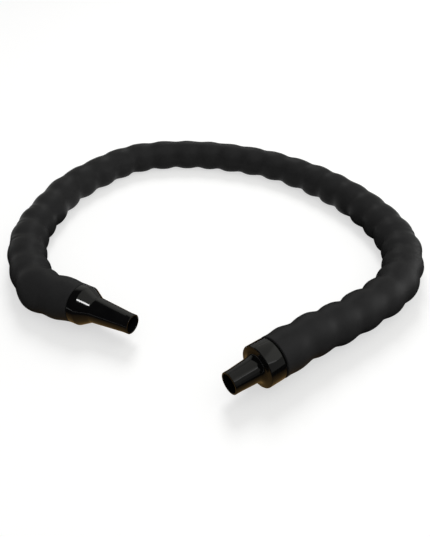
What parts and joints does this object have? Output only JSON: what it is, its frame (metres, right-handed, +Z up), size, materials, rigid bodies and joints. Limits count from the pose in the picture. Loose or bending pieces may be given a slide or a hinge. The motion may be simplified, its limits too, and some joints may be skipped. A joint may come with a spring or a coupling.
{
  "type": "vacuum hose",
  "caption": "Flexible vacuum hose with a thick, softly ringed black sleeve, lying in an open loop, with a glossy tapered swivel cuff at each end, one long and one short.",
  "frame": {"origin": "on the floor under the hose, in the middle of the box around the two end fittings", "axes": "+Z up; +X along the long side of the box around the two end fittings, from the long cuff to the short cuff; +Y towards the far side of the loop"},
  "size_m": [0.71, 0.7112, 0.0611],
  "materials": {
    "sleeve_fabric": "matte black, slightly soft sheen",
    "foam": "soft closed-cell foam",
    "liner_plastic": "semi-matte flexible plastic",
    "cuff_plastic": "polished, mirror-like black",
    "ring_rubber": "matte black",
    "tail_plastic": "as moulded",
    "seal_rubber": "matte silicone",
    "spring_steel": "bright spring steel",
    "band_steel": "rolled steel band"
  },
  "bodies": {
    "hose": {"sleeve_cover": "sleeve_fabric", "sleeve_padding": "foam", "suction_liner": "liner_plastic", "long_end_ring": "ring_rubber", "long_hose_tail": "tail_plastic", "long_seal": "seal_rubber", "long_clip": "spring_steel", "long_clamp_band": "band_steel", "short_end_ring": "ring_rubber", "short_hose_tail": "tail_plastic", "short_seal": "seal_rubber", "short_clip": "spring_steel", "short_clamp_band": "band_steel"},
    "long_cuff": {"long_cuff": "cuff_plastic"},
    "short_cuff": {"short_cuff": "cuff_plastic"}
  },
  "joints": [
    {"name": "long_cuff_swivel", "type": "hinge", "parent": "hose", "child": "long_cuff", "pos_m": [-0.1365, 0.0615, 0.0295], "axis": [0.8886, -0.4587, 0], "continuous": true},
    {"name": "short_cuff_swivel", "type": "hinge", "parent": "hose", "child": "short_cuff", "pos_m": [0.139, -0.0425, 0.0295], "axis": [-0.8161, -0.5779, 0], "continuous": true}
  ]
}
